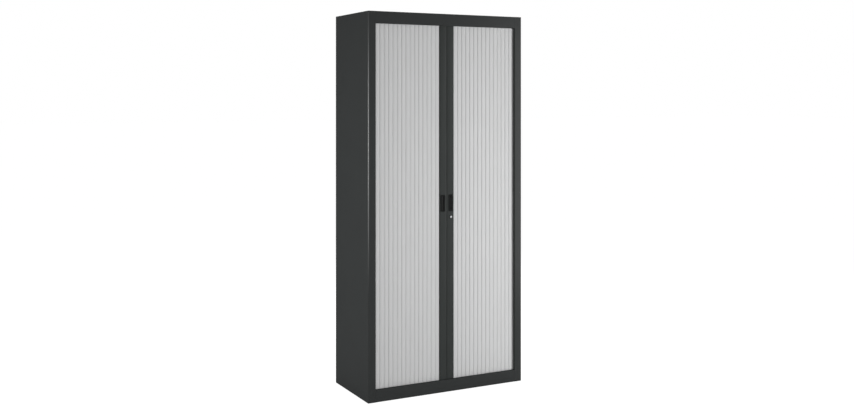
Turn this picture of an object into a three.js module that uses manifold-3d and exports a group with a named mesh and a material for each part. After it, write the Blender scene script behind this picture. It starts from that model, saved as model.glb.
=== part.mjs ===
// Tambour door cabinet: a folded steel carcass with two curtains of interlocking slats in curved tracks.
// Millimetres. The origin lies on the floor under the middle of the carcass, +Z is up, the doors face -Y.
// The right-hand pieces are modelled at +X, and the left-hand ones are their mirror image.
import * as THREE from "three";
import { mergeVertices } from "three/addons/utils/BufferGeometryUtils.js";
import Module from "manifold-3d";

const wasm = await Module();
wasm.setup();

// Carcass
const CABINET_WIDTH = 910;
const CABINET_DEPTH = 432;
const CABINET_HEIGHT = 1980;
const SHEET = 1;
const BEND_RADIUS = 3;
const TIGHT_BEND_RADIUS = 1.5;
const STILE_WIDTH = 42;
const HEADER_HEIGHT = 62;
const PLINTH_HEIGHT = 65;
const RETURN_DEPTH = 13;
const REAR_FLANGE = 18;
const PLINTH_LIP = 12;
const FLOOR_GAP = 2;
const SIDE_RUN_GAP = 11;

// Clearances
const JOINT_GAP = 0.3;
const RAIL_END_GAP = 0.5;
const TRACK_CLEARANCE = 0.6;
const CUT_OVERRUN = 2;

// Curtain slats
const VISIBLE_SLATS = 15;
const TAIL_SLATS = 1;
const BEAD_RADIUS = 1.9;
const PIVOT_CLEARANCE = 0.3;
const HOOK_WALL = 1.1;
const NECK_WALL = 1.2;
const SOCKET_CLEARANCE = 0.4;
const SLAT_GROOVE = 1.4;
const SLAT_SKIN = 1.1;
const SLAT_CROWN = 0.9;
const SLAT_BACK_INSET = 0.3;

// Tracks
const TRACK_WALL = 1.2;
const TRACK_DEPTH = 15;
const TURN_RADIUS = 42;
const TRACK_END_GAP = 19;

// Lead rails
const MEETING_GAP = 1;
const RAIL_WIDTH = 40.4;
const RAIL_RECESS = 10;
const RAIL_DEPTH = 18;
const RAIL_WALL = 1.5;
const RAIL_SIDE_STEP = 4.5;
const RAIL_CORNER = 2;
const END_PLUG = 12;
const TONGUE_INSET = 3.5;
const TONGUE_WIDTH = 24;

// Handles
const HANDLE_X = 24;
const HANDLE_Z = 989;
const HANDLE_WIDTH = 26;
const HANDLE_HEIGHT = 88;
const HANDLE_RIM = 3.2;
const HANDLE_BEVEL = 1;
const HANDLE_CORNER = 5;
const HANDLE_PROUD = 3;
const HANDLE_SINK = 13;
const HANDLE_WALL = 1.5;
const PULL_LIP = 4;

// Lock
const LOCK_X = 24;
const LOCK_Z = 916;
const LOCK_HEAD_RADIUS = 8.6;
const LOCK_BODY_RADIUS = 7.6;
const LOCK_PROUD = 2.6;
const LOCK_BODY_LENGTH = 12.6;
const LOCK_HEAD_BEVEL = 0.6;
const PLUG_RADIUS = 6;
const PLUG_PROUD = 0.5;
const SPINDLE_RADIUS = 2.6;
const KEYWAY_WIDTH = 1.8;
const KEYWAY_HEIGHT = 6.6;
const KEYWAY_DEPTH = 9;
const CAM_REACH = 34;
const CAM_WIDTH = 9;
const CAM_THICKNESS = 2;
const CAM_SLOT_CLEARANCE = 1.2;

// Liners
const LINER_FRONT_FOLD = 9;
const LINER_REAR_FOLD = 15;
const SLOT_PITCH = 63;
const SLOT_HEIGHT = 14;
const SLOT_WIDTH = 3.4;
const FRONT_SLOT_INSET = 45;
const REAR_SLOT_INSET = 40;

// Shelves
const SHELVES = 4;
const SHELF_FLANGE = 25;
const SHELF_LIP = 12;
const SHELF_END_GAP = 1.2;
const SHELF_FRONT_GAP = 6;
const SHELF_REAR_GAP = 5;
const END_FLANGE = 22;
const LUG_WALL = 1.8;
const LUG_HEIGHT = 9;
const LUG_HOOK_WIDTH = 2.4;
const LUG_HOOK_DROP = 5;
const LUG_ABOVE = 12;

// Feet
const FOOT_INSET_X = 64;
const FOOT_INSET_Y = 56;
const PAD_RADIUS = 19;
const PAD_EDGE = 4;
const PAD_CROWN = 4;
const PAD_HUB_RADIUS = 8;
const STEM_RADIUS = 5;
const NUT_RADIUS = 10;
const NUT_HEIGHT = 9;

// Steps of the round stretches, in pieces each
const BEND_STEPS = 3;
const BEAD_STEPS = 8;
const HOOK_STEPS = 8;
const SHORT_ARC_STEPS = 2;
const CROWN_STEPS = 4;
const TURN_STEPS = 9;
const ROUND_STEPS = 24;
const CORNER_STEPS = 3;
const NUT_SIDES = 6;
const BISECTIONS = 40;
const MERGE_SHARE = 1e-10;

// Places worked out from the sizes above
const halfWidth = CABINET_WIDTH / 2;
const frontY = -CABINET_DEPTH / 2;
const rearY = CABINET_DEPTH / 2;
const openingHalf = halfWidth - STILE_WIDTH;
const returnEndY = frontY + RETURN_DEPTH;
const headerZ = CABINET_HEIGHT - HEADER_HEIGHT;
const panelTopZ = CABINET_HEIGHT - SHEET - JOINT_GAP;
const backFrontY = rearY - SHEET - JOINT_GAP - SHEET;
const panHalf = halfWidth - SHEET - JOINT_GAP;

const hookInner = BEAD_RADIUS + PIVOT_CLEARANCE;
const hookOuter = hookInner + HOOK_WALL;
const socketRadius = hookOuter + SOCKET_CLEARANCE;
const slatEdge = socketRadius + SLAT_SKIN;
const slatFront = slatEdge + SLAT_CROWN;

const railInnerX = MEETING_GAP / 2;
const railOuterX = railInnerX + RAIL_WIDTH;
const firstPivot = railOuterX + SLAT_GROOVE / 4;
const pitch = (openingHalf - railOuterX) / VISIBLE_SLATS;
const slatsPerDoor = VISIBLE_SLATS + TAIL_SLATS;

const pivotY = returnEndY + JOINT_GAP + TRACK_WALL + TRACK_CLEARANCE + slatFront;
const sideRunX = halfWidth - SHEET - SIDE_RUN_GAP;
const turnStart = sideRunX - TURN_RADIUS;
const turnCentreY = pivotY + TURN_RADIUS;
const chordDip = TURN_RADIUS - Math.sqrt(TURN_RADIUS ** 2 - (pitch / 2) ** 2);
const turnPerSlat = 2 * Math.asin(pitch / (2 * TURN_RADIUS));
const grooveOuter = slatFront + TRACK_CLEARANCE;
const grooveInner = hookOuter + chordDip + TRACK_CLEARANCE;

const basePanZ = PLINTH_HEIGHT - TRACK_DEPTH - TRACK_WALL - JOINT_GAP;
const crownPanZ = headerZ + TRACK_DEPTH + TRACK_WALL + JOINT_GAP;
const slatBottomZ = PLINTH_HEIGHT - TRACK_DEPTH + JOINT_GAP;
const slatTopZ = headerZ + TRACK_DEPTH - JOINT_GAP;
const panFrontY = returnEndY + JOINT_GAP;
const panRearY = backFrontY - JOINT_GAP;

const railFrontY = frontY + RAIL_RECESS;
const railRearY = railFrontY + RAIL_DEPTH;
const railBottomZ = PLINTH_HEIGHT + RAIL_END_GAP;
const railTopZ = headerZ - RAIL_END_GAP;
const railStepX = railOuterX - RAIL_SIDE_STEP;
const railNotchY = pivotY - socketRadius;

const camFrontY = railFrontY + LOCK_BODY_LENGTH + JOINT_GAP;
const camRearY = camFrontY + CAM_THICKNESS;

// Finishes
const finishes = {
  frame: { color: 0x303336, roughness: 0.55, metalness: 0.1 },
  inner: { color: 0x3a3d40, roughness: 0.6, metalness: 0.1 },
  curtain: { color: 0xc6c7c8, roughness: 0.5, metalness: 0 },
  rail: { color: 0x35383a, roughness: 0.5, metalness: 0.1 },
  handle: { color: 0x161718, roughness: 0.45, metalness: 0 },
  chrome: { color: 0xc9cbcd, roughness: 0.2, metalness: 1 },
  zinc: { color: 0x9b9da0, roughness: 0.4, metalness: 1 },
  track: { color: 0x202224, roughness: 0.5, metalness: 0 },
};

const pt = (x, y) => new THREE.Vector2(x, y);
const axisX = new THREE.Vector3(1, 0, 0);
const axisY = new THREE.Vector3(0, 1, 0);
const axisZ = new THREE.Vector3(0, 0, 1);

// Solids

function toSolid(geometry) {
  const bare = new THREE.BufferGeometry();
  bare.setAttribute("position", geometry.getAttribute("position"));
  bare.setIndex(geometry.index);
  const merged = mergeVertices(bare, CABINET_HEIGHT * MERGE_SHARE);
  const vertProperties = new Float32Array(merged.getAttribute("position").array);
  const triVerts = new Uint32Array(merged.index.array);
  return new wasm.Manifold(new wasm.Mesh({ numProp: 3, vertProperties, triVerts }));
}

function toGeometry(solid) {
  const { vertProperties, triVerts } = solid.getMesh();
  const shared = new THREE.BufferGeometry();
  shared.setAttribute("position", new THREE.BufferAttribute(vertProperties, 3));
  shared.setIndex(new THREE.BufferAttribute(triVerts, 1));
  const geometry = shared.toNonIndexed();
  geometry.computeVertexNormals();
  return geometry;
}

function join(...geometries) {
  return toGeometry(geometries.map(toSolid).reduce((whole, piece) => whole.add(piece)));
}

function cut(geometry, ...cutters) {
  const tool = cutters.map(toSolid).reduce((whole, piece) => whole.add(piece));
  return toGeometry(toSolid(geometry).subtract(tool));
}

// Extrusions along each axis, from one place to another
function alongZ(shape, from, to) {
  const settings = { depth: to - from, bevelEnabled: false, curveSegments: TURN_STEPS };
  return new THREE.ExtrudeGeometry(shape, settings).translate(0, 0, from);
}

// The shape's x and y become Y and Z.
function alongX(shape, from, to) {
  const turned = new THREE.Matrix4().makeBasis(axisY, axisZ, axisX);
  return alongZ(shape, from, to).applyMatrix4(turned);
}

// The shape's x and y become X and Z.
function alongY(shape, from, to) {
  const turned = new THREE.Matrix4().makeBasis(axisX, axisZ, axisY.clone().negate());
  return alongZ(shape, -to, -from).applyMatrix4(turned);
}

function block(low, high) {
  const size = high.map((value, i) => value - low[i]);
  const middle = high.map((value, i) => (value + low[i]) / 2);
  return new THREE.BoxGeometry(...size).translate(...middle);
}

// A turned piece on an axis along Y: each profile point is a radius and a Y.
function turnedOnY(profile, x, z) {
  const points = profile.map(([radius, y]) => pt(radius, y));
  return new THREE.LatheGeometry(points, ROUND_STEPS).translate(x, 0, z);
}

// Outlines

function arc(centre, radius, from, to, steps) {
  return Array.from({ length: steps + 1 }, (_, i) => {
    const angle = from + ((to - from) * i) / steps;
    return pt(centre.x + radius * Math.cos(angle), centre.y + radius * Math.sin(angle));
  });
}

// A strip of sheet whose middle line runs through the corners, rounded at every fold.
function foldedStrip(corners, wall, bendRadius) {
  const middleRadius = bendRadius - wall / 2;
  const left = [];
  const right = [];
  const last = corners.length - 1;
  corners.forEach((corner, i) => {
    const into = i > 0 ? corner.clone().sub(corners[i - 1]) : corners[1].clone().sub(corner);
    const out = i < last ? corners[i + 1].clone().sub(corner) : into.clone();
    into.normalize();
    out.normalize();
    const normal = pt(-into.y, into.x);
    if (i === 0 || i === last) {
      left.push(corner.clone().addScaledVector(normal, wall / 2));
      right.push(corner.clone().addScaledVector(normal, -wall / 2));
      return;
    }
    const turn = Math.atan2(into.cross(out), into.dot(out));
    const side = Math.sign(turn);
    const tangent = middleRadius * Math.tan(Math.abs(turn) / 2);
    const centre = corner.clone().addScaledVector(into, -tangent).addScaledVector(normal, side * middleRadius);
    const start = Math.atan2(-normal.y * side, -normal.x * side);
    left.push(...arc(centre, middleRadius - (side * wall) / 2, start, start + turn, BEND_STEPS));
    right.push(...arc(centre, middleRadius + (side * wall) / 2, start, start + turn, BEND_STEPS));
  });
  return new THREE.Shape([...left, ...right.reverse()]);
}

function roundedRectangle(width, height, radius, x, z) {
  const right = x + width / 2 - radius;
  const left = x - width / 2 + radius;
  const top = z + height / 2 - radius;
  const bottom = z - height / 2 + radius;
  const quarter = Math.PI / 2;
  return new THREE.Shape([
    ...arc(pt(right, bottom), radius, -quarter, 0, CORNER_STEPS),
    ...arc(pt(right, top), radius, 0, quarter, CORNER_STEPS),
    ...arc(pt(left, top), radius, quarter, 2 * quarter, CORNER_STEPS),
    ...arc(pt(left, bottom), radius, 2 * quarter, 3 * quarter, CORNER_STEPS),
  ]);
}

// Path of the slat pivots: along the front, round the corner and back along the side

function pathAt(distance) {
  if (distance <= turnStart) return pt(distance, pivotY);
  const angle = (distance - turnStart) / TURN_RADIUS;
  if (angle > Math.PI / 2) return pt(sideRunX, turnCentreY + TURN_RADIUS * (angle - Math.PI / 2));
  return pt(turnStart + TURN_RADIUS * Math.sin(angle), turnCentreY - TURN_RADIUS * Math.cos(angle));
}

function nextPivot(distance) {
  const here = pathAt(distance);
  let near = distance;
  let far = distance + (pitch * Math.PI) / 2;
  for (let i = 0; i < BISECTIONS; i += 1) {
    const middle = (near + far) / 2;
    if (pathAt(middle).distanceTo(here) < pitch) near = middle;
    else far = middle;
  }
  return far;
}

// A band that follows the path, from one offset outside it to another inside it
function pathBand(outer, inner, startX, endY) {
  const band = new THREE.Shape();
  band.moveTo(startX, pivotY - outer);
  band.lineTo(turnStart, pivotY - outer);
  band.absarc(turnStart, turnCentreY, TURN_RADIUS + outer, -Math.PI / 2, 0, false);
  band.lineTo(sideRunX + outer, endY);
  band.lineTo(sideRunX - inner, endY);
  band.absarc(turnStart, turnCentreY, TURN_RADIUS - inner, 0, -Math.PI / 2, true);
  band.lineTo(startX, pivotY + inner);
  return band;
}

// Carcass pieces

// The return beside the doors stops at the header and the plinth, where the stile lies flat beside them.
function sidePanel() {
  const middle = SHEET / 2;
  const returnFold = [pt(openingHalf + middle, returnEndY), pt(openingHalf + middle, frontY + middle)];
  const rest = [
    pt(halfWidth - middle, frontY + middle),
    pt(halfWidth - middle, rearY - middle),
    pt(halfWidth - REAR_FLANGE, rearY - middle),
  ];
  const folded = foldedStrip([...returnFold, ...rest], SHEET, BEND_RADIUS);
  const flat = foldedStrip([pt(openingHalf, frontY + middle), ...rest], SHEET, BEND_RADIUS);
  return join(
    alongZ(flat, FLOOR_GAP, PLINTH_HEIGHT),
    alongZ(folded, PLINTH_HEIGHT, headerZ),
    alongZ(flat, headerZ, panelTopZ),
  );
}

function topPanel() {
  const middle = SHEET / 2;
  const inner = openingHalf - JOINT_GAP;
  const section = foldedStrip(
    [
      pt(returnEndY, headerZ + middle),
      pt(frontY + middle, headerZ + middle),
      pt(frontY + middle, CABINET_HEIGHT - middle),
      pt(rearY - middle, CABINET_HEIGHT - middle),
      pt(rearY - middle, CABINET_HEIGHT - REAR_FLANGE),
    ],
    SHEET,
    TIGHT_BEND_RADIUS,
  );
  const sheetZ = CABINET_HEIGHT - SHEET;
  return join(
    alongX(section, -inner, inner),
    block([-halfWidth, frontY, sheetZ], [-inner + SHEET, rearY, CABINET_HEIGHT]),
    block([inner - SHEET, frontY, sheetZ], [halfWidth, rearY, CABINET_HEIGHT]),
  );
}

function plinthRail() {
  const middle = SHEET / 2;
  const inner = openingHalf - JOINT_GAP;
  const section = foldedStrip(
    [
      pt(frontY + PLINTH_LIP, FLOOR_GAP + middle),
      pt(frontY + middle, FLOOR_GAP + middle),
      pt(frontY + middle, PLINTH_HEIGHT - middle),
      pt(returnEndY, PLINTH_HEIGHT - middle),
    ],
    SHEET,
    TIGHT_BEND_RADIUS,
  );
  return alongX(section, -inner, inner);
}

function backPanel() {
  const half = halfWidth - BEND_RADIUS - JOINT_GAP;
  return block([-half, backFrontY, FLOOR_GAP], [half, backFrontY + SHEET, panelTopZ - BEND_RADIUS]);
}

// A pan across the carcass: a flat deck with a flange along its front and its rear.
function pan(deckZ, flangeZ) {
  const middle = SHEET / 2;
  const deckMiddle = deckZ + Math.sign(flangeZ - deckZ) * middle;
  const section = foldedStrip(
    [
      pt(panFrontY + middle, flangeZ),
      pt(panFrontY + middle, deckMiddle),
      pt(panRearY - middle, deckMiddle),
      pt(panRearY - middle, flangeZ),
    ],
    SHEET,
    BEND_RADIUS,
  );
  return alongX(section, -panHalf, panHalf);
}

function footPlaces() {
  const x = halfWidth - FOOT_INSET_X;
  return [
    ["front_left", -x, frontY + FOOT_INSET_Y],
    ["front_right", x, frontY + FOOT_INSET_Y],
    ["rear_left", -x, rearY - FOOT_INSET_Y],
    ["rear_right", x, rearY - FOOT_INSET_Y],
  ];
}

// Base pan, with a welded nut and a hole over each foot
function basePan() {
  const deckUnderside = basePanZ - SHEET;
  const nuts = footPlaces().map(([, x, y]) =>
    new THREE.CylinderGeometry(NUT_RADIUS, NUT_RADIUS, NUT_HEIGHT, NUT_SIDES)
      .rotateX(Math.PI / 2)
      .translate(x, y, deckUnderside - NUT_HEIGHT / 2 + SHEET / 2),
  );
  const holes = footPlaces().map(([, x, y]) =>
    new THREE.CylinderGeometry(STEM_RADIUS + JOINT_GAP, STEM_RADIUS + JOINT_GAP, 2 * PLINTH_HEIGHT, ROUND_STEPS)
      .rotateX(Math.PI / 2)
      .translate(x, y, 0),
  );
  return cut(join(pan(basePanZ, FLOOR_GAP), ...nuts), ...holes);
}

function foot(x, y) {
  const hubZ = PAD_EDGE + PAD_CROWN;
  const profile = [
    pt(0, 0),
    pt(PAD_RADIUS, 0),
    pt(PAD_RADIUS, PAD_EDGE),
    pt(PAD_HUB_RADIUS, hubZ),
    pt(STEM_RADIUS, hubZ),
    pt(STEM_RADIUS, basePanZ),
    pt(0, basePanZ),
  ];
  return new THREE.LatheGeometry(profile, ROUND_STEPS).rotateX(Math.PI / 2).translate(x, y, 0);
}

// The track is a grooved band. The lower one opens upwards and the upper one downwards.
function track(floorZ, mouthZ) {
  const endY = rearY - TRACK_END_GAP;
  const startX = JOINT_GAP / 2;
  const [low, high] = [Math.min(floorZ, mouthZ), Math.max(floorZ, mouthZ)];
  const opening = Math.sign(mouthZ - floorZ);
  const body = pathBand(grooveOuter + TRACK_WALL, grooveInner + TRACK_WALL, startX, endY);
  const groove = pathBand(grooveOuter, grooveInner, startX - CUT_OVERRUN, endY - TRACK_WALL);
  const ends = [floorZ + opening * TRACK_WALL, mouthZ + opening * CUT_OVERRUN];
  return cut(alongZ(body, low, high), alongZ(groove, Math.min(...ends), Math.max(...ends)));
}

// Liners and shelves

const linerBottomZ = basePanZ + JOINT_GAP;
const linerTopZ = crownPanZ - JOINT_GAP;
const linerRearY = panRearY;
const slotRows = Math.floor((linerTopZ - linerBottomZ) / SLOT_PITCH) - 1;
const slotColumns = [linerFrontY() + FRONT_SLOT_INSET, linerRearY - REAR_SLOT_INSET];

// Front edge of the liner, just inside the turn of the track
function linerFrontY() {
  const reach = TURN_RADIUS - grooveInner - TRACK_WALL - JOINT_GAP;
  const across = openingHalf + LINER_FRONT_FOLD - turnStart;
  return turnCentreY - Math.sqrt(Math.max(reach ** 2 - across ** 2, 0)) + JOINT_GAP;
}

const slotRowZ = (row) => linerBottomZ + (row + 1) * SLOT_PITCH;

function liner() {
  const middle = SHEET / 2;
  const section = foldedStrip(
    [
      pt(openingHalf + LINER_FRONT_FOLD, linerFrontY() + middle),
      pt(openingHalf + middle, linerFrontY() + middle),
      pt(openingHalf + middle, linerRearY - middle),
      pt(openingHalf + LINER_REAR_FOLD, linerRearY - middle),
    ],
    SHEET,
    BEND_RADIUS,
  );
  const slots = [];
  for (let row = 0; row < slotRows; row += 1)
    for (const y of slotColumns) {
      const z = slotRowZ(row);
      const low = [openingHalf - CUT_OVERRUN, y - SLOT_WIDTH / 2, z];
      slots.push(block(low, [openingHalf + SHEET + CUT_OVERRUN, y + SLOT_WIDTH / 2, z + SLOT_HEIGHT]));
    }
  return cut(alongZ(section, linerBottomZ, linerTopZ), ...slots);
}

// Slot row that each shelf hooks into, the same number of rows apart
const rowsPerShelf = Math.round((slotRows + 1) / (SHELVES + 1));
const shelfRow = (n) => n * rowsPerShelf - 1;

// Shelf tray whose end flanges carry lugs that hook down behind the liners
function shelf(row) {
  const middle = SHEET / 2;
  const lugZ = slotRowZ(row) + JOINT_GAP;
  const topZ = lugZ + LUG_HEIGHT + LUG_ABOVE;
  const front = linerFrontY() + SHELF_FRONT_GAP;
  const rear = linerRearY - SHELF_REAR_GAP;
  const endX = openingHalf - SHELF_END_GAP;
  const section = foldedStrip(
    [
      pt(front + SHELF_LIP, topZ - SHELF_FLANGE + middle),
      pt(front + middle, topZ - SHELF_FLANGE + middle),
      pt(front + middle, topZ - middle),
      pt(rear - middle, topZ - middle),
      pt(rear - middle, topZ - SHELF_FLANGE + middle),
      pt(rear - SHELF_LIP, topZ - SHELF_FLANGE + middle),
    ],
    SHEET,
    BEND_RADIUS,
  );
  const pieces = [alongX(section, -endX, endX)];
  const flangeFront = front + BEND_RADIUS;
  const flangeRear = rear - BEND_RADIUS;
  const hookX = openingHalf + SHEET + JOINT_GAP;
  const lug = new THREE.Shape([
    pt(endX - middle, lugZ),
    pt(hookX, lugZ),
    pt(hookX, lugZ - LUG_HOOK_DROP),
    pt(hookX + LUG_HOOK_WIDTH, lugZ - LUG_HOOK_DROP),
    pt(hookX + LUG_HOOK_WIDTH, lugZ + LUG_HEIGHT),
    pt(endX - middle, lugZ + LUG_HEIGHT),
  ]);
  for (const side of [-1, 1]) {
    const ends = [side * endX, side * (endX - SHEET)];
    const low = [Math.min(...ends), flangeFront, topZ - END_FLANGE];
    pieces.push(block(low, [Math.max(...ends), flangeRear, topZ - middle]));
    for (const y of slotColumns) {
      const plate = alongY(lug, y - LUG_WALL / 2, y + LUG_WALL / 2);
      pieces.push(side > 0 ? plate : plate.rotateZ(Math.PI).translate(0, 2 * y, 0));
    }
  }
  return join(...pieces);
}

// Curtain

// Section of one slat, with u along the curtain and v towards the room. The hook at u = 0 clasps the
// bead of the piece before it, and the bead at u = pitch turns in the hook of the next slat.
function slatSection() {
  const origin = pt(0, 0);
  const bead = pt(pitch, 0);
  const halfNeck = NECK_WALL / 2;
  const mouth = Math.asin((halfNeck + PIVOT_CLEARANCE) / hookInner);
  const mouthFront = Math.PI - mouth;
  const mouthBack = -Math.PI + turnPerSlat + mouth;
  const skinLeft = SLAT_GROOVE / 2;
  const skinRight = pitch - SLAT_GROOVE / 2;
  const backV = -(hookOuter - SLAT_BACK_INSET);
  const halfSkin = skinRight - pitch / 2;
  const crown = Array.from({ length: CROWN_STEPS + 1 }, (_, i) => {
    const across = -1 + (2 * i) / CROWN_STEPS;
    return pt(pitch / 2 + halfSkin * across, slatEdge + SLAT_CROWN * (1 - across ** 2));
  });
  const skinAngle = Math.acos(skinLeft / hookOuter);
  const socketTop = Math.PI - Math.acos((pitch - skinRight) / socketRadius);
  const socketNeck = Math.asin(halfNeck / socketRadius);
  const beadNeck = Math.asin(halfNeck / BEAD_RADIUS);
  const socketBack = Math.asin(-backV / socketRadius);
  const hookBack = Math.asin(backV / hookOuter);
  const outline = [
    ...arc(origin, hookOuter, mouthFront, skinAngle, SHORT_ARC_STEPS),
    ...crown,
    ...arc(bead, socketRadius, socketTop, Math.PI - socketNeck, SHORT_ARC_STEPS),
    ...arc(bead, BEAD_RADIUS, Math.PI - beadNeck, beadNeck - Math.PI, BEAD_STEPS),
    ...arc(bead, socketRadius, socketNeck - Math.PI, socketBack - Math.PI, SHORT_ARC_STEPS),
    ...arc(origin, hookOuter, hookBack, mouthBack, SHORT_ARC_STEPS),
    ...arc(origin, hookInner, mouthBack, mouthFront, HOOK_STEPS),
  ];
  return new THREE.Shape(outline.map(({ x, y }) => pt(x, -y)));
}

// One slat, with two chambers that run through it
function slat() {
  const front = -(slatEdge - SLAT_SKIN);
  const back = hookOuter - SLAT_BACK_INSET - SLAT_SKIN;
  const left = hookOuter + PIVOT_CLEARANCE;
  const right = pitch - socketRadius - SLAT_SKIN;
  const width = (right - left - SLAT_SKIN) / 2;
  const chambers = [left, right - width].map((start) =>
    block([start, front, slatBottomZ - CUT_OVERRUN], [start + width, back, slatTopZ + CUT_OVERRUN]),
  );
  return cut(alongZ(slatSection(), slatBottomZ, slatTopZ), ...chambers);
}

// Lead rail: a stepped tube with a bead for the first slat, a plug and a guide tongue at each end
function leadRail() {
  const bead = pt(firstPivot, pivotY);
  const halfNeck = NECK_WALL / 2;
  const beadNeck = Math.asin(halfNeck / BEAD_RADIUS);
  const corner = pt(railInnerX + RAIL_CORNER, railFrontY + RAIL_CORNER);
  const farCorner = pt(railOuterX - RAIL_CORNER, railFrontY + RAIL_CORNER);
  const quarter = Math.PI / 2;
  const section = new THREE.Shape([
    pt(railInnerX, railRearY),
    ...arc(corner, RAIL_CORNER, 2 * quarter, 3 * quarter, BEND_STEPS),
    ...arc(farCorner, RAIL_CORNER, 3 * quarter, 4 * quarter, BEND_STEPS),
    pt(railOuterX, railNotchY),
    pt(railStepX, railNotchY),
    pt(railStepX, pivotY - halfNeck),
    ...arc(bead, BEAD_RADIUS, beadNeck - Math.PI, Math.PI - beadNeck, BEAD_STEPS),
    pt(railStepX, pivotY + halfNeck),
    pt(railStepX, railRearY),
  ]);
  section.holes.push(
    new THREE.Path([
      pt(railInnerX + RAIL_WALL, railRearY - RAIL_WALL),
      pt(railInnerX + RAIL_WALL, railFrontY + RAIL_WALL),
      pt(railOuterX - RAIL_WALL, railFrontY + RAIL_WALL),
      pt(railOuterX - RAIL_WALL, railNotchY - RAIL_WALL),
      pt(railStepX - RAIL_WALL, railNotchY - RAIL_WALL),
      pt(railStepX - RAIL_WALL, railRearY - RAIL_WALL),
    ]),
  );
  const halfWall = RAIL_WALL / 2;
  const plugs = [
    [railBottomZ, railBottomZ + END_PLUG],
    [railTopZ - END_PLUG, railTopZ],
  ].map(([low, high]) =>
    block(
      [railInnerX + halfWall, railFrontY + halfWall, low],
      [railStepX - halfWall, railRearY - halfWall, high],
    ),
  );
  const tongueX = railInnerX + TONGUE_INSET;
  const tongue = block(
    [tongueX, pivotY - slatFront, slatBottomZ],
    [tongueX + TONGUE_WIDTH, pivotY + hookOuter, railBottomZ + END_PLUG / 2],
  );
  const upperTongue = block(
    [tongueX, pivotY - slatFront, railTopZ - END_PLUG / 2],
    [tongueX + TONGUE_WIDTH, pivotY + hookOuter, slatTopZ],
  );
  return cut(
    join(alongZ(section, railBottomZ, railTopZ), ...plugs, tongue, upperTongue),
    handleOpening(),
    camSlot(),
  );
}

function handleOpening() {
  const opening = roundedRectangle(
    HANDLE_WIDTH - 2 * HANDLE_RIM,
    HANDLE_HEIGHT - 2 * HANDLE_RIM,
    HANDLE_CORNER - HANDLE_RIM / 2,
    HANDLE_X,
    HANDLE_Z,
  );
  return alongY(opening, railFrontY - CUT_OVERRUN, railFrontY + RAIL_WALL + CUT_OVERRUN);
}

// Slot in the meeting edge, long enough for the cam to swing through
function camSlot() {
  const dip = CAM_REACH * Math.cos(Math.asin((LOCK_X - railInnerX - RAIL_WALL) / CAM_REACH));
  return block(
    [railInnerX - CUT_OVERRUN, camFrontY - CAM_SLOT_CLEARANCE, LOCK_Z - dip - CAM_WIDTH],
    [railInnerX + RAIL_WALL + CUT_OVERRUN, camRearY + CAM_SLOT_CLEARANCE, LOCK_Z + CAM_WIDTH],
  );
}

function lockHole() {
  const radius = LOCK_BODY_RADIUS + JOINT_GAP;
  const low = railFrontY - CUT_OVERRUN;
  const high = railFrontY + RAIL_WALL + CUT_OVERRUN;
  return turnedOnY([[0, low], [radius, low], [radius, high], [0, high]], LOCK_X, LOCK_Z);
}

// Recessed cup with a rim on the rail's face, and a lip on its outer side that the fingers pull on
function handle() {
  const rimRear = railFrontY - JOINT_GAP;
  const rimFront = railFrontY - HANDLE_PROUD;
  const bottomY = railFrontY + HANDLE_SINK;
  const bodyWidth = HANDLE_WIDTH - 2 * HANDLE_RIM - 2 * JOINT_GAP;
  const bodyHeight = HANDLE_HEIGHT - 2 * HANDLE_RIM - 2 * JOINT_GAP;
  const bodyCorner = HANDLE_CORNER - HANDLE_RIM / 2;
  const recessWidth = bodyWidth - 2 * HANDLE_WALL;
  const recessHeight = bodyHeight - 2 * HANDLE_WALL;
  const recessCorner = bodyCorner - HANDLE_WALL / 2;
  const face = roundedRectangle(
    HANDLE_WIDTH - 2 * HANDLE_BEVEL,
    HANDLE_HEIGHT - 2 * HANDLE_BEVEL,
    HANDLE_CORNER - HANDLE_BEVEL,
    HANDLE_X,
    HANDLE_Z,
  );
  const edge = roundedRectangle(HANDLE_WIDTH, HANDLE_HEIGHT, HANDLE_CORNER, HANDLE_X, HANDLE_Z);
  const body = roundedRectangle(bodyWidth, bodyHeight, bodyCorner, HANDLE_X, HANDLE_Z);
  const recess = roundedRectangle(recessWidth, recessHeight, recessCorner, HANDLE_X, HANDLE_Z);
  const openingWidth = recessWidth - PULL_LIP;
  const openingX = HANDLE_X - PULL_LIP / 2;
  const opening = roundedRectangle(openingWidth, recessHeight, recessCorner, openingX, HANDLE_Z);
  const rimEdge = rimFront + HANDLE_BEVEL;
  return cut(
    join(
      alongY(edge, rimEdge, rimRear),
      alongY(face, rimFront, rimEdge + JOINT_GAP),
      alongY(body, rimRear - JOINT_GAP, bottomY),
    ),
    alongY(recess, railFrontY, bottomY - HANDLE_WALL),
    alongY(opening, rimFront - CUT_OVERRUN, railFrontY + JOINT_GAP),
  );
}

// Lock

function lockHousing() {
  const front = railFrontY - LOCK_PROUD;
  const bore = PLUG_RADIUS + JOINT_GAP;
  const profile = [
    [bore, front],
    [LOCK_HEAD_RADIUS - LOCK_HEAD_BEVEL, front],
    [LOCK_HEAD_RADIUS, front + LOCK_HEAD_BEVEL],
    [LOCK_HEAD_RADIUS, railFrontY - JOINT_GAP],
    [LOCK_BODY_RADIUS, railFrontY - JOINT_GAP],
    [LOCK_BODY_RADIUS, railFrontY + LOCK_BODY_LENGTH],
    [bore, railFrontY + LOCK_BODY_LENGTH],
    [bore, front],
  ];
  return turnedOnY(profile, LOCK_X, LOCK_Z);
}

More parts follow.
